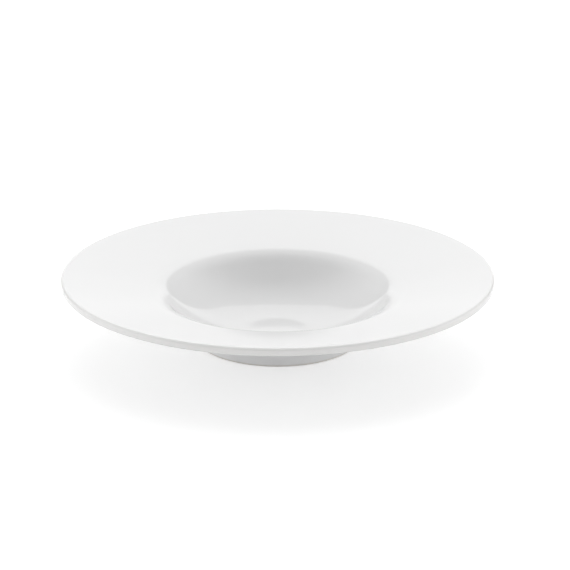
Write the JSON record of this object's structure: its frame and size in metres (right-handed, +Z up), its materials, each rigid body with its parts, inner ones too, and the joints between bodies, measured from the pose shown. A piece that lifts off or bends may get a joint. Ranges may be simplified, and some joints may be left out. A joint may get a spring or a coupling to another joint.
{
  "type": "deep plate",
  "caption": "Round white porcelain deep plate: a wide rim sloping up and out around a bowl-shaped well for soup or pasta, standing on a foot ring.",
  "frame": {"origin": "on the table, at the middle of the foot ring's standing face", "axes": "+Z up along the plate's axis; the plate is round, so +X and +Y are any two directions at right angles on the table"},
  "size_m": [0.29, 0.29, 0.0475],
  "materials": {
    "porcelain": "fired, unglazed, ground smooth",
    "glaze": "clear gloss glaze over white porcelain"
  },
  "bodies": {
    "root": {"porcelain_body": "porcelain", "glaze_coat": "glaze", "base_glaze": "glaze"}
  },
  "joints": []
}
